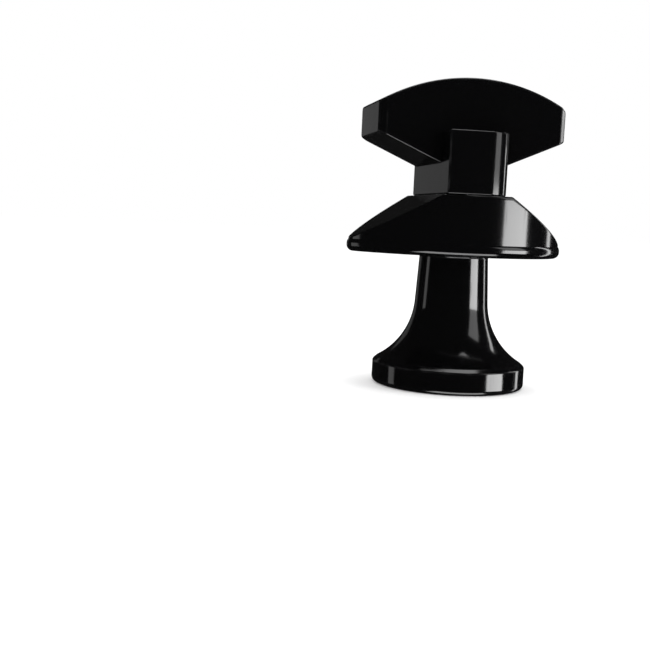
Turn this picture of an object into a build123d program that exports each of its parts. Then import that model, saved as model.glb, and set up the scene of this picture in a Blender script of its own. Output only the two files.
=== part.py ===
from build123d import *
import os
from math import cos, radians, sin

# Quarter-turn peg with a T-shaped head. All sizes are in millimetres.
# +Z runs up the peg's axis from the knob's flat end face at z = 0, and +X runs along
# the T-head. The knob, spindle, neck block and T-head turn as one set in the oval flange.

# Knob: a flat disc with a stem that flares out into it
DISC_RADIUS = 9.7
DISC_RIM = 2.75
DISC_EDGE_ROUND = 0.6
DISC_LIP_ROUND = 0.3
FLARE_RADIUS = 9.2
FLARE_HEIGHT = 3.2
WAIST_RADIUS = 4.65
WAIST_HEIGHT = 10.6
STEM_RADIUS = 4.35
STEM_ROOT = 0.3

# Flange: an oval lens whose top slopes down both ways from a flat land
FLANGE_BASE = 16.6
FLANGE_HALF_LENGTH = 13.95
FLANGE_HALF_DEPTH = 9.5
FLANGE_TIP_RADIUS = 2.8
FLANGE_RIM = 1.8
FLANGE_RIM_ROUND = 0.8
WALL_INSET = 0.2
LAND_HEIGHT = 24.0
LAND_HALF_WIDTH = 4.2
RAMP_SLOPE = 0.59
RAMP_EDGE_ROUND = 0.3

# Neck block: a fork whose two cheeks hold the T-head
NECK_HALF_WIDTH = 4.05
NECK_HALF_DEPTH = 9.2
CHEEK_TOP = 31.5
CAM_RADIUS = 3.25
FACE_CROWN = 0.12
CHEEK_EDGE_ROUND = 0.15

# T-head: a bar with an arched top and a sloping underside
HEAD_HALF_LENGTH = 11.8
HEAD_HALF_DEPTH = 5.65
HEAD_SEAT = 27.7
HEAD_END_BOTTOM = 31.05
HEAD_END_TOP = 34.75
HEAD_TOP = 38.0
HEAD_CORNER = 0.85
HEAD_EDGE_ROUND = 0.22

# Spindle, insert, bush and washers inside the peg
END_GAP = 0.05
RUNNING_GAP = 0.04
JOURNAL_RADIUS = 2.0
THREAD_RADIUS = 1.5
HEX_FLATS = 5.5
HEX_HEIGHT = 2.4
HEX_DEPTH = 3.0
POINT_CHAMFER = 0.3
INSERT_RADIUS = 2.4
INSERT_LENGTH = 7.8
INSERT_DEPTH = 0.75
INSERT_GROOVE = 0.3
INSERT_GROOVES = 3
BUSH_RADIUS = 2.7
WASHER_THICKNESS = 0.48
SPRING_INNER = 2.15
SPRING_OUTER = 3.9
SPRING_THICKNESS = 0.2
SPRING_RISE = 0.5

# Stop: a peg under the neck block runs in a quarter-circle groove in the land
STOP_ORBIT = 3.35
STOP_RADIUS = 0.35
STOP_CLEARANCE = 0.06
STOP_DEPTH = 0.7
STOP_ANGLE = 45
TRAVEL = 90

# Heights that follow from the sizes above
KNOB_HEIGHT = FLANGE_BASE - END_GAP
NECK_BASE = LAND_HEIGHT + END_GAP
SHOULDER = KNOB_HEIGHT - INSERT_DEPTH
INSERT_BASE = SHOULDER - INSERT_LENGTH
THREAD_END = INSERT_BASE + 2 * POINT_CHAMFER
HEX_BASE = HEAD_SEAT + HEX_DEPTH
SPRING_POCKET = KNOB_HEIGHT + SPRING_RISE + END_GAP
WASHER_TOP = LAND_HEIGHT + END_GAP / 2
BUSH_TOP = WASHER_TOP - WASHER_THICKNESS
BUSH_BASE = SPRING_POCKET + 2 * END_GAP


def lens_outline(half_length, half_depth, tip_radius):
    """Two equal arcs that meet in rounded tips, centred on the origin."""
    span = (half_length - tip_radius) ** 2 + half_depth**2 - tip_radius**2
    radius = span / (2 * (half_depth - tip_radius))
    shift = radius - half_depth
    with BuildSketch() as lens:
        with Locations((0, shift)):
            Circle(radius)
        with Locations((0, -shift)):
            Circle(radius, mode=Mode.INTERSECT)
        fillet(lens.vertices(), tip_radius)
    return lens.sketch


def flange_rim():
    """The flange's lowest layer, rounded over all the way round its edge."""
    with BuildPart() as rim:
        with BuildSketch(Plane.XY.offset(FLANGE_BASE)):
            add(lens_outline(FLANGE_HALF_LENGTH, FLANGE_HALF_DEPTH, FLANGE_TIP_RADIUS))
        extrude(amount=FLANGE_RIM)
        fillet(rim.edges().filter_by(Axis.Z, reverse=True), FLANGE_RIM_ROUND)
    return rim.part


def save(part, label):
    """Name a finished piece and write it as its own STEP file."""
    part.label = label
    export_step(part, f"parts/{label}.step")


os.makedirs("parts", exist_ok=True)

# Knob: one turned outline, bored from the top for its threaded insert
with BuildPart() as knob:
    with BuildSketch(Plane.XZ):
        with BuildLine():
            root = RadiusArc(
                (STEM_RADIUS + STEM_ROOT, KNOB_HEIGHT), (STEM_RADIUS, KNOB_HEIGHT - STEM_ROOT), -STEM_ROOT
            )
            taper = Line(root @ 1, (WAIST_RADIUS, WAIST_HEIGHT))
            flare = TangentArc(taper @ 1, (FLARE_RADIUS, FLARE_HEIGHT), tangent=taper % 1)
            Polyline(
                flare @ 1,
                (DISC_RADIUS, DISC_RIM),
                (DISC_RADIUS, 0),
                (0, 0),
                (0, KNOB_HEIGHT),
                root @ 0,
            )
        make_face()
    revolve(axis=Axis.Z)
    fillet(knob.edges().group_by(Axis.Z)[0], DISC_EDGE_ROUND)
    lip = knob.edges().filter_by(GeomType.CIRCLE).filter_by(lambda e: abs(e.center().Z - DISC_RIM) < 0.01)
    fillet(lip, DISC_LIP_ROUND)
    with Locations((0, 0, KNOB_HEIGHT)):
        Hole(INSERT_RADIUS, KNOB_HEIGHT - INSERT_BASE)
save(knob.part, "knob")

# Knob insert: a brass sleeve, threaded inside, with three grooves that the plastic grips
with BuildPart() as knob_insert:
    with BuildSketch(Plane.XY.offset(INSERT_BASE)):
        Circle(INSERT_RADIUS)
        Circle(THREAD_RADIUS, mode=Mode.SUBTRACT)
    extrude(amount=INSERT_LENGTH)
    for step in range(1, INSERT_GROOVES + 1):
        with BuildSketch(Plane.XY.offset(INSERT_BASE + step * INSERT_LENGTH / (INSERT_GROOVES + 1))):
            Circle(INSERT_RADIUS)
            Circle(INSERT_RADIUS - INSERT_GROOVE, mode=Mode.SUBTRACT)
        extrude(amount=INSERT_GROOVE, mode=Mode.SUBTRACT)
save(knob_insert.part, "knob_insert")

# Spindle: a threaded tail, a plain journal and a hexagon head
with BuildPart() as spindle:
    with BuildSketch(Plane.XY.offset(THREAD_END)):
        Circle(THREAD_RADIUS)
    extrude(amount=SHOULDER - THREAD_END)
    chamfer(spindle.edges().group_by(Axis.Z)[0], POINT_CHAMFER)
    with BuildSketch(Plane.XY.offset(SHOULDER)):
        Circle(JOURNAL_RADIUS)
    extrude(amount=HEX_BASE - SHOULDER)
    with BuildSketch(Plane.XY.offset(HEX_BASE)):
        RegularPolygon(HEX_FLATS / 2, 6, major_radius=False)
    extrude(amount=HEX_HEIGHT)
save(spindle.part, "spindle")

# Spring washer: a shallow cone between the knob and the flange that holds the set angle
with BuildPart() as spring_washer:
    with BuildSketch(Plane.XZ):
        with BuildLine():
            Polyline(
                (SPRING_OUTER, KNOB_HEIGHT),
                (SPRING_OUTER, KNOB_HEIGHT + SPRING_THICKNESS),
                (SPRING_INNER, KNOB_HEIGHT + SPRING_RISE),
                (SPRING_INNER, KNOB_HEIGHT + SPRING_RISE - SPRING_THICKNESS),
                close=True,
            )
        make_face()
    revolve(axis=Axis.Z)
save(spring_washer.part, "spring_washer")

# Flange: an inset wall cut to the two ramps, standing on a rounded rim
with BuildPart() as flange:
    with BuildSketch(Plane.XY.offset(FLANGE_BASE + FLANGE_RIM / 2)):
        add(
            lens_outline(
                FLANGE_HALF_LENGTH - WALL_INSET, FLANGE_HALF_DEPTH - WALL_INSET, FLANGE_TIP_RADIUS - WALL_INSET
            )
        )
    extrude(amount=LAND_HEIGHT - FLANGE_BASE - FLANGE_RIM / 2)
    with BuildSketch(Plane.XZ):
        with BuildLine():
            ramp_end = FLANGE_HALF_LENGTH + WALL_INSET
            ramp_foot = LAND_HEIGHT - RAMP_SLOPE * (ramp_end - LAND_HALF_WIDTH)
            Polyline(
                (0, FLANGE_BASE),
                (ramp_end, FLANGE_BASE),
                (ramp_end, ramp_foot),
                (LAND_HALF_WIDTH, LAND_HEIGHT),
                (0, LAND_HEIGHT),
            )
            mirror(about=Plane.YZ)
        make_face()
    extrude(amount=FLANGE_HALF_DEPTH, both=True, mode=Mode.INTERSECT)
    ramps = flange.faces().filter_by(lambda f: 0.5 < f.normal_at().Z < 0.95)
    fillet(ramps.edges(), RAMP_EDGE_ROUND)
    add(flange_rim())
    with Locations((0, 0, LAND_HEIGHT)):
        Hole(BUSH_RADIUS)
    with BuildSketch(Plane.XY.offset(FLANGE_BASE)):
        Circle(SPRING_OUTER + 2 * END_GAP)
    extrude(amount=SPRING_POCKET - FLANGE_BASE, mode=Mode.SUBTRACT)
    with BuildSketch(Plane.XY.offset(LAND_HEIGHT)):
        with BuildLine():
            groove = CenterArc((0, 0), STOP_ORBIT, STOP_ANGLE - TRAVEL, TRAVEL)
        SlotArc(groove, 2 * (STOP_RADIUS + STOP_CLEARANCE))
    extrude(amount=-STOP_DEPTH - STOP_CLEARANCE, mode=Mode.SUBTRACT)
save(flange.part, "flange")

# Flange bush: a plain bearing sleeve pressed into the flange
with BuildPart() as flange_bush:
    with BuildSketch(Plane.XY.offset(BUSH_BASE)):
        Circle(BUSH_RADIUS)
        Circle(JOURNAL_RADIUS + RUNNING_GAP, mode=Mode.SUBTRACT)
    extrude(amount=BUSH_TOP - BUSH_BASE)
save(flange_bush.part, "flange_bush")

# Thrust washer: carries the neck block just clear of the land
with BuildPart() as thrust_washer:
    with BuildSketch(Plane.XY.offset(BUSH_TOP)):
        Circle(BUSH_RADIUS)
        Circle(JOURNAL_RADIUS + RUNNING_GAP, mode=Mode.SUBTRACT)
    extrude(amount=WASHER_TOP - BUSH_TOP)
save(thrust_washer.part, "thrust_washer")

# Neck block: a deep block whose two opposite corners are rounded off as cams, so that it
# turns one way in a slot, with a slot of its own between two cheeks for the T-head
with BuildPart() as neck_block:
    with BuildSketch(Plane.XY.offset(NECK_BASE)) as block:
        with BuildLine():
            front = SagittaArc(
                (-NECK_HALF_WIDTH, FACE_CROWN - NECK_HALF_DEPTH),
                (NECK_HALF_WIDTH, FACE_CROWN - NECK_HALF_DEPTH),
                -FACE_CROWN,
            )
            back = SagittaArc(
                (NECK_HALF_WIDTH, NECK_HALF_DEPTH - FACE_CROWN),
                (-NECK_HALF_WIDTH, NECK_HALF_DEPTH - FACE_CROWN),
                -FACE_CROWN,
            )
            Line(front @ 1, back @ 0)
            Line(back @ 1, front @ 0)
        make_face()
        cams = [corner for corner in block.vertices() if corner.X * corner.Y < 0]
        fillet(cams, CAM_RADIUS)
    extrude(amount=CHEEK_TOP - NECK_BASE)
    with BuildSketch(Plane.XY.offset(HEAD_SEAT)):
        Rectangle(4 * NECK_HALF_WIDTH, 2 * HEAD_HALF_DEPTH)
    extrude(amount=CHEEK_TOP - HEAD_SEAT, mode=Mode.SUBTRACT)
    tops = neck_block.faces().sort_by(Axis.Z)[-2:]
    fillet(tops.edges().filter_by(lambda e: abs(e.center().Y) > HEAD_HALF_DEPTH + 0.01), CHEEK_EDGE_ROUND)
    with Locations((0, 0, HEAD_SEAT)):
        Hole(JOURNAL_RADIUS)
    stop_angle = radians(STOP_ANGLE)
    stop_place = (STOP_ORBIT * cos(stop_angle), STOP_ORBIT * sin(stop_angle))
    with BuildSketch(Plane.XY.offset(NECK_BASE)):
        with Locations(stop_place):
            Circle(STOP_RADIUS)
    extrude(amount=-STOP_DEPTH)
save(neck_block.part, "neck_block")

# T-head: an arched bar with cut corners, moulded round the spindle's hexagon
with BuildPart() as t_head:
    with BuildSketch(Plane.XZ):
        with BuildLine():
            arch = ThreePointArc((-HEAD_HALF_LENGTH, HEAD_END_TOP), (0, HEAD_TOP), (HEAD_HALF_LENGTH, HEAD_END_TOP))
            Polyline(
                arch @ 1,
                (HEAD_HALF_LENGTH, HEAD_END_BOTTOM),
                (NECK_HALF_WIDTH, HEAD_SEAT),
                (-NECK_HALF_WIDTH, HEAD_SEAT),
                (-HEAD_HALF_LENGTH, HEAD_END_BOTTOM),
                arch @ 0,
            )
        make_face()
    extrude(amount=HEAD_HALF_DEPTH, both=True)
    chamfer(t_head.edges().filter_by(Axis.Z), HEAD_CORNER)
    outer = t_head.edges().filter_by(lambda e: abs(e.center().X) > NECK_HALF_WIDTH or e.center().Z > CHEEK_TOP)
    fillet(outer, HEAD_EDGE_ROUND)
    with BuildSketch(Plane.XY.offset(HEAD_SEAT)):
        Circle(JOURNAL_RADIUS)
    extrude(amount=HEX_BASE - HEAD_SEAT, mode=Mode.SUBTRACT)
    with BuildSketch(Plane.XY.offset(HEX_BASE)):
        RegularPolygon(HEX_FLATS / 2, 6, major_radius=False)
    extrude(amount=HEX_HEIGHT, mode=Mode.SUBTRACT)
save(t_head.part, "t_head")
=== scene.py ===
import logging
import math
from dataclasses import dataclass
from enum import Enum

import bmesh
import bpy
import numpy as np
from mathutils import Matrix, Vector


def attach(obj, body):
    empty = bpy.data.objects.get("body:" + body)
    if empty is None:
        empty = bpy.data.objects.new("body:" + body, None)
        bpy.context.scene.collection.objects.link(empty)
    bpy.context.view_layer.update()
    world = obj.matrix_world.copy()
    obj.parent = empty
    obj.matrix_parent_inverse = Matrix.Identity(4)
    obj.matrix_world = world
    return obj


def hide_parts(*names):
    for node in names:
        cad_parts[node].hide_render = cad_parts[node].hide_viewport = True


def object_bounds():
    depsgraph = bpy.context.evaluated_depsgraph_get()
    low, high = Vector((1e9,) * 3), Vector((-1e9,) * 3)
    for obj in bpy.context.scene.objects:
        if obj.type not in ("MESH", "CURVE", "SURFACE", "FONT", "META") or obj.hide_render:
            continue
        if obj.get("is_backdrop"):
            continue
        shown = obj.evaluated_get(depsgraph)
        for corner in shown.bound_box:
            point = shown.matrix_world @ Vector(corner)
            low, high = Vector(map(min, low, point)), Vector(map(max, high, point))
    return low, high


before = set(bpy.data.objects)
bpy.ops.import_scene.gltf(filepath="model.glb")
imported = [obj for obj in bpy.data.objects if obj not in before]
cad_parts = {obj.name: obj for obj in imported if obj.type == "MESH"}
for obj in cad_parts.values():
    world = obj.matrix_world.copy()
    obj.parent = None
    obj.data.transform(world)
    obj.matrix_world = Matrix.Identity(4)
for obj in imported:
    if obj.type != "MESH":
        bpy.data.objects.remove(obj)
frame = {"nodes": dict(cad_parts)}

# Looks of a quarter-turn peg: gloss-black mouldings round a steel spindle.
# Lengths in the classes are in millimetres; meshes are made in metres, in the frame's axes.

MM = 0.001
LOG = logging.getLogger("peg")

# Sizes that more than one piece takes part in
FLANGE_BASE = 16.6
LAND = 24.0
END_GAP = 0.05
HEAD_SEAT = 27.7
HEAD_HALF_DEPTH = 5.65
NECK_HALF_WIDTH = 4.05
JOURNAL = 2.0
STOP_ORBIT = 3.35
STOP_TURN = 45.0

# A bore or socket stands this far off what it holds, so that no two faces coincide
CLEAR = 0.01

# A cutting tool reaches this far past the surface that it breaks through
OVERSHOOT = 1.0

# Vertices nearer than this, in metres, are one; edges that turn more than this, in degrees, are sharp
WELD = 1e-7
SHARP_ABOVE = 33.0

# The part of its range that a noise texture mostly fills
NOISE_LOW, NOISE_HIGH = 0.3, 0.7


class Body(Enum):
    """The frame's two moving bodies."""

    FLANGE = "flange"
    TURNING = "turning_set"


class Texture(Enum):
    """How a metal or plain plastic surface was made."""

    TURNED = "turned"
    ROLLED = "rolled"
    MOULDED = "moulded"


# How each texture stretches its marks along the three axes: the smaller, the longer the marks
MARK_STRETCH = {
    Texture.TURNED: (0.05, 0.05, 1.0),
    Texture.ROLLED: (1.0, 0.06, 0.06),
    Texture.MOULDED: (1.0, 1.0, 1.0),
}


# ---------------------------------------------------------------- curves and meshes


def arc(centre: tuple[float, float], radius: float, start: float, end: float, count: int) -> np.ndarray:
    """Points of a circular arc: centre plus radius times (cos, sin) of an evenly stepped angle.

    Args:
        centre: The arc's centre.
        radius: Its radius.
        start: First angle in degrees.
        end: Last angle in degrees.
        count: How many steps lie between them.

    Returns:
        An array of count + 1 rows of two coordinates.
    """
    angle = np.radians(np.linspace(start, end, count + 1))
    return np.stack([centre[0] + radius * np.cos(angle), centre[1] + radius * np.sin(angle)], axis=-1)


def held_line(start: tuple[float, float], end: tuple[float, float], hold: float, count: int) -> np.ndarray:
    """A straight run with an extra point a short way in from each end, which keeps the shading flat.

    Args:
        start: First point.
        end: Last point.
        hold: Distance of the extra points from the ends.
        count: Steps between the extra points.

    Returns:
        Points strictly between the two ends.
    """
    first, last = np.array(start, float), np.array(end, float)
    share = min(hold / max(float(np.linalg.norm(last - first)), 1e-9), 0.45)
    return first + (last - first) * np.linspace(share, 1 - share, count + 1)[:, None]


def outward(loop: np.ndarray) -> np.ndarray:
    """Unit normals of a closed plan outline that runs anticlockwise.

    The tangent at a point is the mean of the directions of the two edges that meet there, and
    the normal is the tangent turned clockwise by a right angle.

    Args:
        loop: Rows of x and y.

    Returns:
        Rows of the outward unit normal.
    """
    ahead = np.roll(loop, -1, axis=0) - loop
    ahead = ahead / np.linalg.norm(ahead, axis=1, keepdims=True)
    tangent = ahead + np.roll(ahead, 1, axis=0)
    normal = np.stack([tangent[:, 1], -tangent[:, 0]], axis=-1)
    return normal / np.linalg.norm(normal, axis=1, keepdims=True)


def skin(name: str, loops: np.ndarray) -> bpy.types.Object:
    """A closed surface through a stack of closed loops, one parameter up the stack and one round it.

    A first or last loop that has shrunk to a point or a line closes its end of the stack, once the
    vertices that fall together are welded.

    Args:
        name: The new object's name.
        loops: An array of stack, round and three coordinates in millimetres.

    Returns:
        The new object, with its faces turned outwards.
    """
    stack, around, _ = loops.shape
    row, column = np.meshgrid(np.arange(stack - 1), np.arange(around), indexing="ij")
    following = (column + 1) % around
    here, above = row * around, (row + 1) * around
    quads = np.stack([here + column, here + following, above + following, above + column], axis=-1)
    mesh = bpy.data.meshes.new(name)
    mesh.from_pydata((loops.reshape(-1, 3) * MM).tolist(), [], quads.reshape(-1, 4).tolist())
    work = bmesh.new()
    work.from_mesh(mesh)
    bmesh.ops.remove_doubles(work, verts=work.verts, dist=WELD)
    bmesh.ops.recalc_face_normals(work, faces=work.faces)
    work.to_mesh(mesh)
    work.free()
    piece = bpy.data.objects.new(name, mesh)
    bpy.context.scene.collection.objects.link(piece)
    return piece


def lifted(loop: np.ndarray, height: float | np.ndarray) -> np.ndarray:
    """A plan outline raised to a height."""
    return np.column_stack([loop, np.broadcast_to(height, len(loop))])


def prism(name: str, loop: np.ndarray, low: float, high: float) -> bpy.types.Object:
    """A closed straight prism on a plan outline, each end closed at the outline's centre.

    Args:
        name: The object's name.
        loop: Rows of x and y.
        low: Height of the lower end.
        high: Height of the upper end.

    Returns:
        The prism as an object.
    """
    point = np.broadcast_to(loop.mean(axis=0), loop.shape)
    levels = [(point, low), (loop, low), (loop, high), (point, high)]
    return skin(name, np.stack([lifted(outline, height) for outline, height in levels]))


def circle(radius: float, count: int = 72, centre: tuple[float, float] = (0.0, 0.0)) -> np.ndarray:
    """A full circle as a plan outline, without its repeated last point."""
    return arc(centre, radius, 0, 360, count)[:-1]


def rectangle(half_x: float, half_y: float) -> np.ndarray:
    """A rectangle about the origin as an anticlockwise plan outline."""
    return np.array([(-half_x, -half_y), (half_x, -half_y), (half_x, half_y), (-half_x, half_y)])


def combine(piece: bpy.types.Object, tool: bpy.types.Object, operation: str = "DIFFERENCE") -> None:
    """Cut a piece with a tool, or join the tool to it, and drop the tool.

    Args:
        piece: The piece, whose mesh is replaced by the result.
        tool: The closed tool.
        operation: DIFFERENCE or UNION.
    """
    change = piece.modifiers.new(operation.lower(), "BOOLEAN")
    change.operation = operation
    change.solver = "EXACT"
    change.object = tool
    bpy.context.view_layer.update()
    made = bpy.data.meshes.new_from_object(piece.evaluated_get(bpy.context.evaluated_depsgraph_get()))
    piece.modifiers.clear()
    old, piece.data = piece.data, made
    made.name = piece.name
    bpy.data.meshes.remove(old)
    bpy.data.objects.remove(tool)


def edge_wear(mesh: bpy.types.Mesh, soft: float = 0.7, full: float = 3.5) -> bool:
    """Store how sharply the surface turns at each vertex, as the attribute that the finishes read.

    At an edge the turn is the angle between its two faces over the distance between their centres,
    or none if the angle is too small to tell from a flat surface. A vertex takes the largest turn
    among its edges, scaled from 0 at soft to 1 at full.

    Args:
        mesh: The finished mesh.
        soft: Turn per millimetre at which wear starts.
        full: Turn per millimetre at which it is complete.

    Returns:
        True if every edge has exactly two faces, so the surface is closed.
    """
    flat, nearest = 0.01, 0.05
    faces, edges, corners = len(mesh.polygons), len(mesh.edges), len(mesh.loops)
    normal, centre = np.zeros(faces * 3), np.zeros(faces * 3)
    sizes, edge_of, ends = np.zeros(faces, int), np.zeros(corners, int), np.zeros(edges * 2, int)
    mesh.polygons.foreach_get("normal", normal)
    mesh.polygons.foreach_get("center", centre)
    mesh.polygons.foreach_get("loop_total", sizes)
    mesh.loops.foreach_get("edge_index", edge_of)
    mesh.edges.foreach_get("vertices", ends)
    closed = bool(np.all(np.bincount(edge_of, minlength=edges) == 2))
    wear = np.zeros(len(mesh.vertices))
    if closed:
        pair = np.repeat(np.arange(faces), sizes)[np.argsort(edge_of, kind="stable")].reshape(-1, 2)
        normal, centre = normal.reshape(-1, 3), centre.reshape(-1, 3) / MM
        turn = np.arccos(np.clip((normal[pair[:, 0]] * normal[pair[:, 1]]).sum(axis=1), -1, 1))
        apart = np.linalg.norm(centre[pair[:, 0]] - centre[pair[:, 1]], axis=1)
        bend = np.where(turn > flat, turn / np.maximum(apart, nearest), 0)
        np.maximum.at(wear, ends.reshape(-1, 2)[:, 0], bend)
        np.maximum.at(wear, ends.reshape(-1, 2)[:, 1], bend)
    layer = mesh.attributes.new("edge_wear", "FLOAT", "POINT")
    layer.data.foreach_set("value", np.clip((wear - soft) / (full - soft), 0, 1).astype(np.float32))
    return closed


def complete(piece: bpy.types.Object, node: str, body: Body, finish: bpy.types.Material) -> None:
    """Smooth a finished piece, dress it, and let it stand for its node on its body.

    Args:
        piece: The piece, in place.
        node: The frame node it stands for.
        body: The body it moves with.
        finish: Its material.
    """
    piece.data.shade_smooth()
    piece.data.set_sharp_from_angle(angle=math.radians(SHARP_ABOVE))
    closed = edge_wear(piece.data)
    piece.data.materials.clear()
    piece.data.materials.append(finish)
    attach(piece, body.value)
    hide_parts(node)
    LOG.info("%s: %d faces, closed %s, on %s", piece.name, len(piece.data.polygons), closed, body.value)


# ---------------------------------------------------------------- finishes


class NodeBench:
    """A material with its Principled shader and a few short calls for adding nodes to it."""

    def __init__(self, name: str) -> None:
        """Start a material of that name."""
        self.material = bpy.data.materials.new(name)
        self.material.use_nodes = True
        self.tree = self.material.node_tree
        self.shader = self.tree.nodes["Principled BSDF"]
        self.place = self.tree.nodes.new("ShaderNodeTexCoord").outputs["Object"]

    def add(
        self, kind: str, settings: dict[str, object], links: dict[str, object] | None = None
    ) -> bpy.types.Node:
        """Add a node, set its properties and sockets, and link its inputs.

        Args:
            kind: The node's type.
            settings: Properties, or input sockets by name.
            links: Output sockets to join to this node's inputs, by input name.

        Returns:
            The new node.
        """
        node = self.tree.nodes.new(kind)
        for key, value in settings.items():
            if key in node.inputs:
                node.inputs[key].default_value = value
            else:
                setattr(node, key, value)
        for key, socket in (links or {}).items():
            self.tree.links.new(socket, node.inputs[key])
        return node

    def feed(self, socket: object, target: str) -> None:
        """Join an output socket to one of the shader's inputs."""
        self.tree.links.new(socket, self.shader.inputs[target])

    def noise(self, scale: float, detail: float, stretch: tuple[float, float, float] = (1, 1, 1)) -> object:
        """Noise on object coordinates.

        Args:
            scale: Waves per metre.
            detail: Octaves.
            stretch: Scale of the coordinates along each axis.

        Returns:
            The noise's factor socket.
        """
        turned = self.add("ShaderNodeMapping", {"Scale": stretch}, {"Vector": self.place})
        settings = {"Scale": scale, "Detail": detail}
        made = self.add("ShaderNodeTexNoise", settings, {"Vector": turned.outputs["Vector"]})
        return made.outputs["Fac"]

    def remap(self, socket: object, low: float, high: float, start: float, end: float) -> object:
        """Spread a value from low..high over start..end.

        Args:
            socket: The value.
            low: Input that gives start.
            high: Input that gives end.
            start: Output at low.
            end: Output at high.

        Returns:
            The remapped value's socket.
        """
        settings = {"From Min": low, "From Max": high, "To Min": start, "To Max": end}
        return self.add("ShaderNodeMapRange", settings, {"Value": socket}).outputs["Result"]

    def blend(self, socket: object, start: tuple[float, ...], end: tuple[float, ...]) -> None:
        """Colour the shader from start to end as a value goes from 0 to 1.

        Args:
            socket: The value.
            start: Colour at 0.
            end: Colour at 1.
        """
        ramp = self.add("ShaderNodeValToRGB", {}, {"Fac": socket})
        ramp.color_ramp.elements[0].color = (*start, 1)
        ramp.color_ramp.elements[1].color = (*end, 1)
        self.feed(ramp.outputs["Color"], "Base Color")

    def join(self, first: object, second: object, operation: str = "ADD") -> object:
        """Two values added, or joined by another operation."""
        node = self.add("ShaderNodeMath", {"operation": operation})
        self.tree.links.new(first, node.inputs[0])
        self.tree.links.new(second, node.inputs[1])
        return node.outputs["Value"]

    def bump(self, socket: object, depth: float, strength: float, under: object | None = None) -> object:
        """A bump from a height, laid over another bump if one is given.

        Args:
            socket: The height.
            depth: Height of the relief in metres.
            strength: Share of it that is used.
            under: Another bump's normal.

        Returns:
            The normal's socket.
        """
        links = {"Height": socket} | ({"Normal": under} if under is not None else {})
        node = self.add("ShaderNodeBump", {"Strength": strength, "Distance": depth}, links)
        return node.outputs["Normal"]


@dataclass(frozen=True)
class GlossBlack:
    """Piano-black moulded plastic: deep gloss, a faint moulding ripple, hairlines and rubbed edges.

    Scales are waves per metre and depths of relief are in metres. A range is the part of a noise
    that is spread from none to full.
    """

    colour: tuple[float, float, float] = (0.0016, 0.0016, 0.0018)
    rubbed: tuple[float, float, float] = (0.012, 0.012, 0.0125)
    refraction: float = 1.53
    gloss: float = 0.1
    gloss_spread: tuple[float, float] = (-0.02, 0.03)
    rubbed_gloss: float = 0.17
    patch_scale: float = 700.0
    patch_range: tuple[float, float] = (0.42, 0.7)
    patch_least: float = 0.15
    flow_scale: float = 90.0
    flow_stretch: tuple[float, float, float] = (1.0, 1.0, 0.35)
    ripple_scale: float = 260.0
    ripple_depth: float = 0.00003
    ripple_strength: float = 0.3
    hairline_scale: float = 2600.0
    hairline_stretch: tuple[float, float, float] = (1.0, 1.0, 0.04)
    hairline_range: tuple[float, float] = (0.62, 0.7)
    hairline_dulling: float = 0.06
    hairline_depth: float = 0.000002
    hairline_strength: float = 0.25

    def make(self, name: str) -> bpy.types.Material:
        """Build the finish.

        Args:
            name: The material's name.

        Returns:
            The material.
        """
        bench = NodeBench(name)
        bench.shader.inputs["IOR"].default_value = self.refraction
        wear = bench.add("ShaderNodeAttribute", {"attribute_name": "edge_wear"}).outputs["Fac"]
        patchy = bench.remap(bench.noise(self.patch_scale, 5.0), *self.patch_range, self.patch_least, 1.0)
        rub = bench.join(wear, patchy, "MULTIPLY")
        flow = bench.noise(self.flow_scale, 3.0, self.flow_stretch)
        hairline = bench.noise(self.hairline_scale, 2.0, self.hairline_stretch)
        hairs = bench.remap(hairline, *self.hairline_range, 0.0, 1.0)
        bench.blend(rub, self.colour, self.rubbed)
        best, worst = (self.gloss + change for change in self.gloss_spread)
        smooth = bench.remap(flow, NOISE_LOW, NOISE_HIGH, best, worst)
        scuffed = bench.join(smooth, bench.remap(hairs, 0.0, 1.0, 0.0, self.hairline_dulling))
        dulled = bench.remap(rub, 0.0, 1.0, 0.0, self.rubbed_gloss - self.gloss)
        bench.feed(bench.join(scuffed, dulled), "Roughness")
        ripple = bench.bump(bench.noise(self.ripple_scale, 2.0), self.ripple_depth, self.ripple_strength)
        bench.feed(bench.bump(hairs, self.hairline_depth, self.hairline_strength, ripple), "Normal")
        return bench.material


@dataclass(frozen=True)
class PlainFinish:
    """A metal or matt plastic: colour, gloss, and the fine marks of how it was made."""

    colour: tuple[float, float, float]
    metallic: float
    roughness: float
    texture: Texture
    mark_scale: float = 3000.0
    mark_depth: float = 0.000008
    mark_strength: float = 0.35
    tint_scale: float = 400.0
    tint_dark: float = 0.82
    gloss_spread: tuple[float, float] = (0.7, 1.3)

    def make(self, name: str) -> bpy.types.Material:
        """Build the finish.

        Args:
            name: The material's name.

        Returns:
            The material.
        """
        bench = NodeBench(name)
        bench.shader.inputs["Metallic"].default_value = self.metallic
        marks = bench.noise(self.mark_scale, 3.0, MARK_STRETCH[self.texture])
        darker = tuple(self.tint_dark * channel for channel in self.colour)
        bench.blend(bench.noise(self.tint_scale, 4.0), darker, self.colour)
        best, worst = (self.roughness * share for share in self.gloss_spread)
        bench.feed(bench.remap(marks, NOISE_LOW, NOISE_HIGH, best, worst), "Roughness")
        bench.feed(bench.bump(marks, self.mark_depth, self.mark_strength), "Normal")
        return bench.material


# ---------------------------------------------------------------- the mouldings


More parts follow.
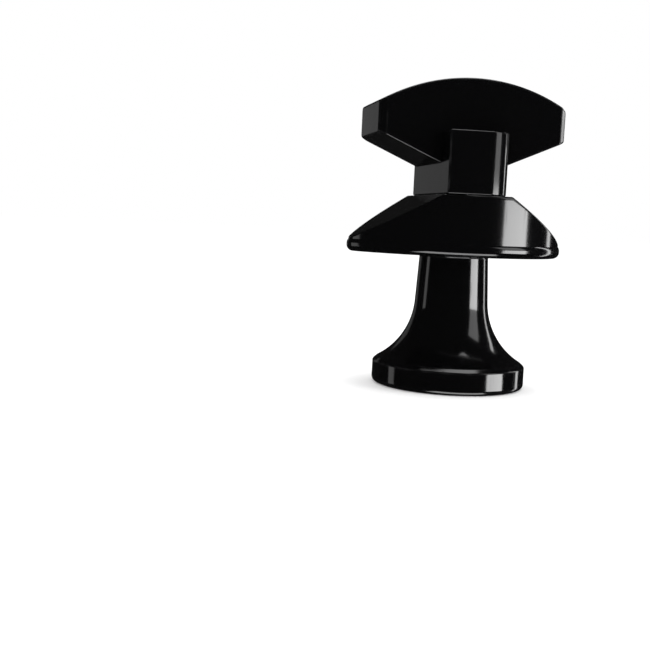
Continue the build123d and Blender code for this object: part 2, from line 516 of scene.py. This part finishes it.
@dataclass
class Knob:
    """The turned knob: a flat disc whose edge flares up into the stem, bored for its insert."""

    disc_radius: float = 9.7
    rim: float = 2.75
    edge_round: float = 0.6
    lip_round: float = 0.3
    flare: tuple[float, float] = (9.2, 3.2)
    waist: tuple[float, float] = (4.65, 10.6)
    stem_radius: float = 4.35
    root: float = 0.3
    height: float = FLANGE_BASE - END_GAP
    bore: float = 2.4 + CLEAR
    bore_floor: float = 8.0 - CLEAR
    hold: float = 0.04
    around: int = 216

    def flare_arc(self, count: int) -> np.ndarray:
        """The concave flare, from the disc up to the waist.

        It is the one circle that touches the stem's taper at the waist and passes through the disc's
        shoulder: its radius is the chord squared over twice the chord's part across the taper.

        Args:
            count: Steps along it.

        Returns:
            Rows of radius and height.
        """
        waist, end = np.array(self.waist), np.array(self.flare)
        along = waist - np.array([self.stem_radius, self.height - self.root])
        along = along / np.linalg.norm(along)
        across = np.array([-along[1], along[0]])
        chord = end - waist
        radius = float(chord @ chord / (2 * chord @ across))
        centre = waist + across * radius
        first = math.degrees(math.atan2(*(waist - centre)[::-1])) % 360
        last = math.degrees(math.atan2(*(end - centre)[::-1])) % 360
        return arc(tuple(centre), radius, last, first, count)

    def profile(self) -> np.ndarray:
        """The turned outline, from the middle of the end face round to the middle of the bore's floor.

        Returns:
            Rows of radius and height.
        """
        r, e = self.disc_radius, self.edge_round
        slope = math.atan2(self.flare[1] - self.rim, r - self.flare[0])
        turn = math.pi / 2 - slope
        reach = self.lip_round * math.tan(turn / 2)
        lip = arc((r - self.lip_round, self.rim - reach), self.lip_round, 0, math.degrees(turn), 6)
        top = self.height - self.root
        root = arc((self.stem_radius + self.root, top), self.root, 180, 108, 5)
        parts = [
            [(0, 0)],
            held_line((0.5, 0), (r - e, 0), self.hold, 5),
            arc((r - e, e), e, -90, 0, 10),
            held_line((r, e), (r, self.rim - reach), self.hold, 3),
            lip,
            held_line(tuple(lip[-1]), self.flare, self.hold, 2),
            self.flare_arc(72),
            held_line(self.waist, (self.stem_radius, top), 2 * self.hold, 12),
            root,
            [(root[-1][0], self.height)],
            [(self.bore, self.height), (self.bore, self.bore_floor), (0, self.bore_floor)],
        ]
        return np.concatenate([np.asarray(part, float) for part in parts])

    def build(self, finish: bpy.types.Material) -> None:
        """Turn the outline about the peg's axis: x and y are the radius times (cos, sin) of the angle.

        Args:
            finish: The plastic.
        """
        line = self.profile()
        angle = np.linspace(0, 2 * np.pi, self.around, endpoint=False)
        radius, height = line[:, :1], line[:, 1:]
        loops = np.stack([radius * np.cos(angle), radius * np.sin(angle), height + 0 * angle], axis=-1)
        piece = skin("knob_body", loops)
        complete(piece, "knob", Body.TURNING, finish)


@dataclass
class Flange:
    """The oval flange: a rounded rim with an inset wall above it, cut by two ramps."""

    base: float = FLANGE_BASE
    half_length: float = 13.95
    half_depth: float = 9.5
    tip: float = 2.8
    rim: float = 1.8
    rim_round: float = 0.8
    inset: float = 0.2
    land: float = LAND
    land_half: float = 4.2
    slope: float = 0.59
    edge_round: float = 0.3
    crease_round: float = 0.45
    bore: float = 2.7 + CLEAR
    pocket_radius: float = 4.0
    pocket_top: float = 17.1
    groove_half: float = 0.41
    groove_depth: float = 0.76

    @property
    def pitch(self) -> float:
        """The ramps' angle in radians."""
        return math.atan(self.slope)

    @property
    def side_radius(self) -> float:
        """Radius of the lens's two long arcs."""
        span = (self.half_length - self.tip) ** 2 + self.half_depth**2 - self.tip**2
        return span / (2 * (self.half_depth - self.tip))

    @property
    def shift(self) -> float:
        """Distance of each long arc's centre from the long axis."""
        return self.side_radius - self.half_depth

    @property
    def reach(self) -> float:
        """Distance of each tip's centre from the middle."""
        return self.half_length - self.tip

    @property
    def tip_turn(self) -> float:
        """The normal's angle from the long axis where a tip meets a long arc."""
        return math.atan2(self.shift, self.reach)

    @property
    def crease_start(self) -> float:
        """Where the land starts to bend into the ramp, along x."""
        return self.land_half - self.crease_round * math.tan(self.pitch / 2)

    def directions(self) -> np.ndarray:
        """The outline's normal angles, close together where its edge crosses the two creases.

        Returns:
            Angles in radians, rising, the same above and below the long axis.
        """
        inner = self.side_radius - self.inset - self.edge_round
        spread = (self.crease_round - self.edge_round) * math.sin(self.pitch)
        margin = 0.03
        outermost, innermost = self.crease_start + spread + margin, self.crease_start - margin
        crossing = np.arccos(np.linspace(outermost, innermost, 11) / inner)
        quarter = np.concatenate(
            [
                np.linspace(0, self.tip_turn, 17),
                np.linspace(self.tip_turn, crossing[0], 34),
                crossing,
                np.linspace(crossing[-1], np.pi / 2, 11),
            ]
        )
        every = np.concatenate([quarter, np.pi - quarter, np.pi + quarter, 2 * np.pi - quarter])
        return np.unique(np.round(every % (2 * np.pi), 9))

    def outline(self, angle: np.ndarray, inset: float | np.ndarray) -> np.ndarray:
        """The lens, moved inwards: two long arcs that meet in rounded tips.

        Where the normal points nearer to the long axis than the arcs' ends do, the point is on a tip.

        Args:
            angle: Normal angles.
            inset: Distance inwards from the outline.

        Returns:
            Rows of x and y.
        """
        nx, ny = np.cos(angle), np.sin(angle)
        on_tip = np.arctan2(np.abs(ny), np.abs(nx)) <= self.tip_turn + 1e-9
        radius = np.where(on_tip, self.tip, self.side_radius) - inset
        x = radius * nx + np.where(on_tip, np.sign(nx) * self.reach, 0)
        y = radius * ny - np.where(on_tip, 0, np.sign(ny) * self.shift)
        return np.stack([x, np.where(np.abs(ny) < 1e-8, 0, y)], axis=-1)

    def top_edge(self, angle: np.ndarray) -> tuple[np.ndarray, np.ndarray]:
        """Centres of the ball that rolls along the top edge, and the top's normal above each.

        The ball runs its radius inside the wall and its radius under the top. Under the land and the
        ramps the centre keeps one height or one slope; under a crease it follows a small arc.

        Args:
            angle: The outline's normal angles.

        Returns:
            The centres and the unit normals, as rows of three.
        """
        plan = self.outline(angle, self.inset + self.edge_round)
        small, steepest = self.crease_round - self.edge_round, math.sin(self.pitch)
        beyond = np.abs(plan[:, 0]) - self.crease_start
        tilt = np.arcsin(np.clip(beyond / small, 0, steepest))
        past = np.maximum(beyond - small * steepest, 0)
        height = self.land - self.crease_round + small * np.cos(tilt) - self.slope * past
        normal = np.stack([np.sign(plan[:, 0]) * np.sin(tilt), 0 * tilt, np.cos(tilt)], axis=-1)
        return np.column_stack([plan, height]), normal

    def loops(self) -> np.ndarray:
        """The whole outer surface as a stack of loops, from the underside's long axis to the top's.

        Returns:
            An array of stack, round and three coordinates.
        """
        angle = self.directions()
        turned = self.rim_round
        foot = self.outline(angle, turned)
        stack = [lifted(foot * (1, share), self.base) for share in (0, 0.5, 0.97)]
        for turn in np.radians(np.linspace(0, 90, 11)):
            height = self.base + turned * (1 - math.cos(turn))
            stack.append(lifted(self.outline(angle, turned * (1 - math.sin(turn))), height))
        upper, last = self.base + self.rim - turned, math.acos(1 - self.inset / turned)
        for turn in np.linspace(0, last, 7):
            height = upper + turned * math.sin(turn)
            stack.append(lifted(self.outline(angle, turned * (1 - math.cos(turn))), height))
        centre, top = self.top_edge(angle)
        wall = self.outline(angle, self.inset)
        start = upper + turned * math.sin(last)
        for share in (0.03, 0.35, 0.65, 0.97):
            stack.append(lifted(wall, start + (centre[:, 2] - start) * share))
        side = np.column_stack([np.cos(angle), np.sin(angle), 0 * angle])
        between = np.arccos(np.clip((side * top).sum(axis=1), -1, 1))[:, None]
        for share in np.linspace(0, 1, 8):
            mixed = (np.sin((1 - share) * between) * side + np.sin(share * between) * top) / np.sin(between)
            stack.append(centre + self.edge_round * mixed)
        edge = stack[-1]
        stack += [edge * (1, share, 1) for share in (0.985, 0.66, 0.33, 0)]
        return np.stack(stack)

    def groove(self) -> bpy.types.Object:
        """The quarter-circle groove for the stop, as a cutting tool.

        An upright rectangle is carried along the orbit's arc and straight on past both ends, where its
        half width shrinks as the root of the groove's half width squared less the distance squared.

        Returns:
            The closed tool.
        """
        turn, count, past_count = math.radians(STOP_TURN), 33, 8
        past = self.groove_half * np.sin(np.linspace(0, np.pi / 2, past_count + 1))[1:]
        swept = np.linspace(-turn, turn, count)
        angle = np.concatenate([np.full(past_count, -turn), swept, np.full(past_count, turn)])
        ahead = np.concatenate([-past[::-1], np.zeros(count), past])
        radial = np.stack([np.cos(angle), np.sin(angle)], axis=-1)
        tangent = np.stack([-np.sin(angle), np.cos(angle)], axis=-1)
        middle = STOP_ORBIT * radial + ahead[:, None] * tangent
        half = np.sqrt(np.maximum(self.groove_half**2 - ahead**2, 0))[:, None] * radial
        low, high = self.land - self.groove_depth, self.land + OVERSHOOT
        corners = [(1, low), (1, high), (-1, high), (-1, low)]
        loops = [lifted(middle + side * half, height) for side, height in corners]
        return skin("groove_tool", np.stack(loops, axis=1))

    def build(self, finish: bpy.types.Material) -> None:
        """Skin the flange, then cut its bore, the spring's pocket and the groove.

        Args:
            finish: The plastic.
        """
        piece = skin("flange_body", self.loops())
        combine(piece, prism("bore_tool", circle(self.bore), self.base - OVERSHOOT, self.land + OVERSHOOT))
        pocket = circle(self.pocket_radius)
        combine(piece, prism("pocket_tool", pocket, self.base - OVERSHOOT, self.pocket_top))
        combine(piece, self.groove())
        complete(piece, "flange", Body.FLANGE, finish)


@dataclass
class NeckBlock:
    """The deep neck: two cam corners, two square corners, and two cheeks beside the head."""

    half_width: float = NECK_HALF_WIDTH
    half_depth: float = 9.2
    base: float = LAND + END_GAP
    top: float = 31.5
    seat: float = HEAD_SEAT
    cam: float = 3.25
    corner: float = 0.2
    crown: float = 0.12
    edge_round: float = 0.15
    slot_half: float = HEAD_HALF_DEPTH + CLEAR
    bore: float = JOURNAL + CLEAR
    stop_radius: float = 0.35
    stop_length: float = 0.7
    stop_root: float = 0.5
    hold: float = 0.05

    def outline(self) -> np.ndarray:
        """The neck in plan, anticlockwise: half of it, then the same half turned by half a turn.

        The half is a small round corner, the crowned front face on a large circle, a cam corner that
        touches that circle from inside, and the straight side.

        Returns:
            Rows of x and y.
        """
        face = (self.half_width**2 + self.crown**2) / (2 * self.crown)
        middle = face - self.half_depth
        small_x, cam_x = self.corner - self.half_width, self.half_width - self.cam
        small_y = middle - math.sqrt((face - self.corner) ** 2 - small_x**2)
        cam_y = middle - math.sqrt((face - self.cam) ** 2 - cam_x**2)
        small_angle = math.degrees(math.atan2(small_y - middle, small_x)) % 360
        cam_angle = math.degrees(math.atan2(cam_y - middle, cam_x)) % 360
        half = np.concatenate(
            [
                arc((small_x, small_y), self.corner, 180, small_angle, 8),
                arc((0, middle), face, small_angle + self.hold, cam_angle - self.hold, 10),
                arc((cam_x, cam_y), self.cam, cam_angle, 360, 28),
                held_line((self.half_width, cam_y), (self.half_width, -small_y), self.hold, 10),
            ]
        )
        return np.concatenate([half, -half])

    def loops(self) -> np.ndarray:
        """The block as a stack of loops: the outline, pulled in along a small arc at both ends.

        Returns:
            An array of stack, round and three coordinates.
        """
        plan = self.outline()
        normal = outward(plan)
        turns = np.radians(np.linspace(0, 90, 7))
        falling, rising = self.edge_round * (1 - np.sin(turns)), self.edge_round * (1 - np.cos(turns))
        margin = self.edge_round + 0.04
        levels = list(zip(falling, self.base + rising))
        levels += [(0.0, height) for height in np.linspace(self.base + margin, self.top - margin, 6)]
        levels += list(zip(rising, self.top - falling))
        body = [lifted(plan - inset * normal, height) for inset, height in levels]
        under = [body[0] * (share, share, 1) for share in (0, 0.5, 0.99)]
        over = [body[-1] * (share, share, 1) for share in (0.99, 0.5, 0)]
        return np.stack(under + body + over)

    def build(self, finish: bpy.types.Material) -> None:
        """Skin the block, cut the head's slot and the spindle's bore, and add the stop.

        Args:
            finish: The plastic.
        """
        piece = skin("neck_body", self.loops())
        slot = rectangle(2 * self.half_width, self.slot_half)
        combine(piece, prism("slot_tool", slot, self.seat - CLEAR / 2, self.top + OVERSHOOT))
        combine(piece, prism("bore_tool", circle(self.bore), self.base - OVERSHOOT, self.seat + OVERSHOOT))
        turn = math.radians(STOP_TURN)
        stop = circle(self.stop_radius, 24, (STOP_ORBIT * math.cos(turn), STOP_ORBIT * math.sin(turn)))
        foot, root = self.base - self.stop_length, self.base + self.stop_root
        combine(piece, prism("stop_tool", stop, foot, root), "UNION")
        complete(piece, "neck_block", Body.TURNING, finish)


@dataclass
class THead:
    """The T-head: a bar with an arched top, a sloping underside and cut corners."""

    half_length: float = 11.8
    half_depth: float = HEAD_HALF_DEPTH
    seat: float = HEAD_SEAT
    seat_half: float = NECK_HALF_WIDTH
    end_bottom: float = 31.05
    end_top: float = 34.75
    top: float = 38.0
    corner: float = 0.85
    corner_soft: float = 0.1
    edge_round: float = 0.22
    socket_flats: float = 5.5 + CLEAR
    socket_base: float = 30.7 - CLEAR
    socket_top: float = 33.1 + CLEAR
    bore: float = JOURNAL + CLEAR
    hold: float = 0.05

    def stations(self) -> tuple[np.ndarray, np.ndarray]:
        """Places of the sections along the bar, and how far each is pulled in by the end's rounding.

        Returns:
            The stations along x and the pull at each, both rising from the left end to the right.
        """
        turn = np.radians(np.linspace(0, 90, 9))
        near_end = self.half_length - self.edge_round + self.edge_round * np.sin(turn)
        pull = self.edge_round * (1 - np.cos(turn))
        cut, soft = self.half_length - self.corner, self.corner_soft
        clear_of_cut, clear_of_end, clear_of_seat = soft + 0.04, 0.03, 0.3
        plain = np.concatenate(
            [
                np.linspace(0, self.seat_half - self.hold, 14),
                [self.seat_half, self.seat_half + self.hold],
                np.linspace(self.seat_half + clear_of_seat, cut - clear_of_cut, 30),
                np.linspace(cut - soft, cut + soft, 9),
                np.linspace(cut + clear_of_cut, near_end[0] - clear_of_end, 4),
            ]
        )
        right, inset = np.concatenate([plain, near_end]), np.concatenate([0 * plain, pull])
        return np.concatenate([-right[:0:-1], right]), np.concatenate([inset[:0:-1], inset])

    def section(self, x: float, pull: float) -> np.ndarray:
        """One section across the bar: a rectangle with rounded corners.

        The top is the arch, a circle through both ends and the crown. The underside is level over the
        seat and rises evenly outside it. The depth narrows at 45 degrees past the cut corners, with a
        short curve where the cut starts.

        Args:
            x: Place along the bar.
            pull: Distance by which every side is pulled in.

        Returns:
            Rows of three coordinates round the section.
        """
        rise = self.top - self.end_top
        radius = (self.half_length**2 + rise**2) / (2 * rise)
        high = self.top - radius + math.sqrt(radius**2 - x * x) - pull
        pitch = (self.end_bottom - self.seat) / (self.half_length - self.seat_half)
        low = self.seat + pitch * max(abs(x) - self.seat_half, 0) + pull
        past, soft = abs(x) - (self.half_length - self.corner), self.corner_soft
        cut = max(past, 0.0) if abs(past) >= soft else (past + soft) ** 2 / (4 * soft)
        wide, r = self.half_depth - cut - pull, self.edge_round
        ring = np.concatenate(
            [
                arc((wide - r, low + r), r, -90, 0, 7),
                held_line((wide, low + r), (wide, high - r), self.hold, 8),
                arc((wide - r, high - r), r, 0, 90, 7),
                held_line((wide - r, high), (r - wide, high), self.hold, 12),
                arc((r - wide, high - r), r, 90, 180, 7),
                held_line((-wide, high - r), (-wide, low + r), self.hold, 8),
                arc((r - wide, low + r), r, 180, 270, 7),
                held_line((r - wide, low), (wide - r, low), self.hold, 12),
            ]
        )
        return np.column_stack([np.full(len(ring), x), ring])

    def socket(self) -> bpy.types.Object:
        """The spindle's bore and, above it, the socket that grips its six-sided head, as a tool.

        A hexagon's radius at an angle is half its flats over the cosine of the angle from the nearest
        flat's middle.

        Returns:
            The closed tool.
        """
        angle = np.linspace(0, 2 * np.pi, 72, endpoint=False)
        six = (self.socket_flats / 2 / np.cos(angle % (np.pi / 3) - np.pi / 6))[:, None]
        way = np.stack([np.cos(angle), np.sin(angle)], axis=-1)
        levels = [
            (0, self.seat - OVERSHOOT),
            (self.bore, self.seat - OVERSHOOT),
            (self.bore, self.socket_base),
            (six, self.socket_base),
            (six, self.socket_top),
            (0, self.socket_top),
        ]
        return skin("socket_tool", np.stack([lifted(way * radius, height) for radius, height in levels]))

    def build(self, finish: bpy.types.Material) -> None:
        """Carry the section along the bar, close both ends, and cut the socket.

        Args:
            finish: The plastic.
        """
        places, pulls = self.stations()
        body = [self.section(float(x), float(pull)) for x, pull in zip(places, pulls)]
        left, right = body[0].mean(axis=0), body[-1].mean(axis=0)
        first = [left + (body[0] - left) * share for share in (0, 0.5, 0.975)]
        last = [right + (body[-1] - right) * share for share in (0.975, 0.5, 0)]
        piece = skin("head_body", np.stack(first + body + last))
        combine(piece, self.socket())
        complete(piece, "t_head", Body.TURNING, finish)


@dataclass
class Hardware:
    """The spindle, insert, bush and washers, which keep their shapes and get their own finishes."""

    steel: PlainFinish = PlainFinish((0.62, 0.63, 0.65), 1.0, 0.26, Texture.TURNED)
    spring: PlainFinish = PlainFinish((0.42, 0.43, 0.46), 1.0, 0.34, Texture.ROLLED)
    brass: PlainFinish = PlainFinish((0.78, 0.58, 0.27), 1.0, 0.24, Texture.TURNED)
    bronze: PlainFinish = PlainFinish((0.66, 0.42, 0.22), 1.0, 0.36, Texture.TURNED)
    acetal: PlainFinish = PlainFinish((0.83, 0.82, 0.78), 0.0, 0.48, Texture.MOULDED)

    def dress(self, nodes: dict[str, bpy.types.Object]) -> None:
        """Put each finish on its node.

        Args:
            nodes: The frame's nodes by name.
        """
        finishes = {
            "spindle": self.steel,
            "spring_washer": self.spring,
            "knob_insert": self.brass,
            "flange_bush": self.bronze,
            "thrust_washer": self.acetal,
        }
        for name, finish in finishes.items():
            made = finish.make(f"{name}_finish")
            for held in nodes[name].material_slots:
                held.link = "OBJECT"
                held.material = made
            LOG.info("%s: %s surface", name, finish.texture.value)


# ---------------------------------------------------------------- studio


@dataclass(frozen=True)
class Panel:
    """A soft rectangular light that faces the peg.

    Azimuth is in degrees from the front, to the right; the other sizes are in metres, power in watts.
    """

    name: str
    azimuth: float
    distance: float
    height: float
    width: float
    tall: float
    power: float

    def place(self, aim: Vector) -> None:
        """Set the light up.

        Args:
            aim: The point it faces, in metres.
        """
        light = bpy.data.lights.new(self.name, "AREA")
        light.shape = "RECTANGLE"
        light.size, light.size_y, light.energy = self.width, self.tall, self.power
        holder = bpy.data.objects.new(self.name, light)
        bpy.context.scene.collection.objects.link(holder)
        turn = math.radians(self.azimuth)
        holder.location = (self.distance * math.sin(turn), -self.distance * math.cos(turn), self.height)
        holder.rotation_euler = (aim - holder.location).to_track_quat("-Z", "Y").to_euler()
        holder.visible_camera = False


@dataclass
class Studio:
    """A pale floor, pale surroundings, soft panels and the camera.

    The panels' numbers are azimuth, distance, height, width, tall and power. The camera's angles are
    in degrees and its distances in millimetres, and the floor's are in metres.
    """

    panels: tuple[Panel, ...] = (
        Panel("panel_right", 57.0, 0.24, -0.008, 0.12, 0.084, 0.33),
        Panel("panel_right_upper", 57.0, 0.24, 0.117, 0.12, 0.166, 0.12),
        Panel("strip_far_right", 108.0, 0.26, 0.03, 0.03, 0.30, 0.11),
        Panel("panel_left", -108.0, 0.25, -0.01, 0.05, 0.09, 0.014),
        Panel("panel_behind_left", -160.0, 0.30, 0.05, 0.10, 0.12, 0.006),
        Panel("panel_over", 150.0, 0.10, 0.50, 0.40, 0.30, 1.2),
        Panel("panel_under_front", 5.0, 0.10, -0.14, 0.22, 0.10, 0.35),
    )
    surroundings: float = 1.0
    mirrored: float = 0.012
    floor_half: float = 1.5
    floor_drop: float = 0.00002
    paper: tuple[float, float] = (0.88, 0.92)
    paper_glow: float = 0.12
    azimuth: float = -10.4
    elevation: float = 6.18
    roll: float = 2.56
    distance: float = 126.2
    aim_height: float = 21.2
    aside: float = 16.63
    above: float = 13.54
    lens: float = 55.0

    def light(self) -> None:
        """Place the panels and the pale surroundings, which the gloss mirrors only dimly."""
        low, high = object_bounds()
        for panel in self.panels:
            panel.place((low + high) / 2)
        world = bpy.data.worlds.new("surroundings")
        world.use_nodes = True
        bpy.context.scene.world = world
        tree = world.node_tree
        backdrop = tree.nodes["Background"]
        backdrop.inputs["Color"].default_value = (1, 1, 1, 1)
        path = tree.nodes.new("ShaderNodeLightPath")
        level = tree.nodes.new("ShaderNodeMapRange")
        level.inputs["To Min"].default_value = self.surroundings
        level.inputs["To Max"].default_value = self.mirrored
        tree.links.new(path.outputs["Is Glossy Ray"], level.inputs["Value"])
        tree.links.new(level.outputs["Result"], backdrop.inputs["Strength"])

    def floor(self) -> None:
        """Lay the pale floor just under the knob's end face."""
        corners = lifted(rectangle(self.floor_half, self.floor_half), -self.floor_drop)
        mesh = bpy.data.meshes.new("floor")
        mesh.from_pydata(corners.tolist(), [], [(0, 1, 2, 3)])
        ground = bpy.data.objects.new("floor", mesh)
        bpy.context.scene.collection.objects.link(ground)
        bench = NodeBench("floor_paper")
        dark, pale = self.paper
        bench.blend(bench.noise(900.0, 4.0), (dark, dark, dark), (pale, pale, pale))
        bench.shader.inputs["Roughness"].default_value = 0.95
        bench.shader.inputs["Specular IOR Level"].default_value = 0.0
        bench.shader.inputs["Emission Color"].default_value = (1, 1, 1, 1)
        bench.shader.inputs["Emission Strength"].default_value = self.paper_glow
        mesh.materials.append(bench.material)
        ground.visible_glossy = False
        ground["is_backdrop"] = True

    def camera(self) -> None:
        """Stand the camera at its azimuth, elevation and roll, aimed a little to one side of the peg."""
        a, e, t = (math.radians(angle) for angle in (self.azimuth, self.elevation, self.roll))
        back = Vector((math.sin(a) * math.cos(e), -math.cos(a) * math.cos(e), math.sin(e)))
        level = Vector((math.cos(a), math.sin(a), 0))
        rise = back.cross(level)
        right = level * math.cos(t) + rise * math.sin(t)
        up = rise * math.cos(t) - level * math.sin(t)
        seen = bpy.data.cameras.new("camera")
        seen.sensor_width, seen.lens = 36.0, self.lens
        seen.clip_start, seen.clip_end = 0.005, 20.0
        holder = bpy.data.objects.new("camera", seen)
        bpy.context.scene.collection.objects.link(holder)
        turned = Matrix((right, up, back)).transposed().to_4x4()
        place = Vector((0, 0, self.aim_height)) - right * self.aside - up * self.above + back * self.distance
        holder.matrix_world = Matrix.Translation(place * MM) @ turned
        bpy.context.scene.camera = holder

    def build(self) -> None:
        """Set up the whole studio."""
        self.light()
        self.floor()
        self.camera()
        bpy.context.scene.view_settings.view_transform = "Standard"
        LOG.info("studio: %d panels", len(self.panels))


def main() -> None:
    """Build every piece in order, report each, then dress the hardware and set up the studio."""
    logging.basicConfig(level=logging.INFO, format="%(name)s: %(message)s")
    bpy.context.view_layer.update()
    gloss = GlossBlack()
    for part in (Knob(), Flange(), NeckBlock(), THead()):
        kind = type(part).__name__.lower()
        part.build(gloss.make(f"{kind}_gloss_black"))
    Hardware().dress(frame["nodes"])
    Studio().build()


if __name__ == "__main__":
    main()
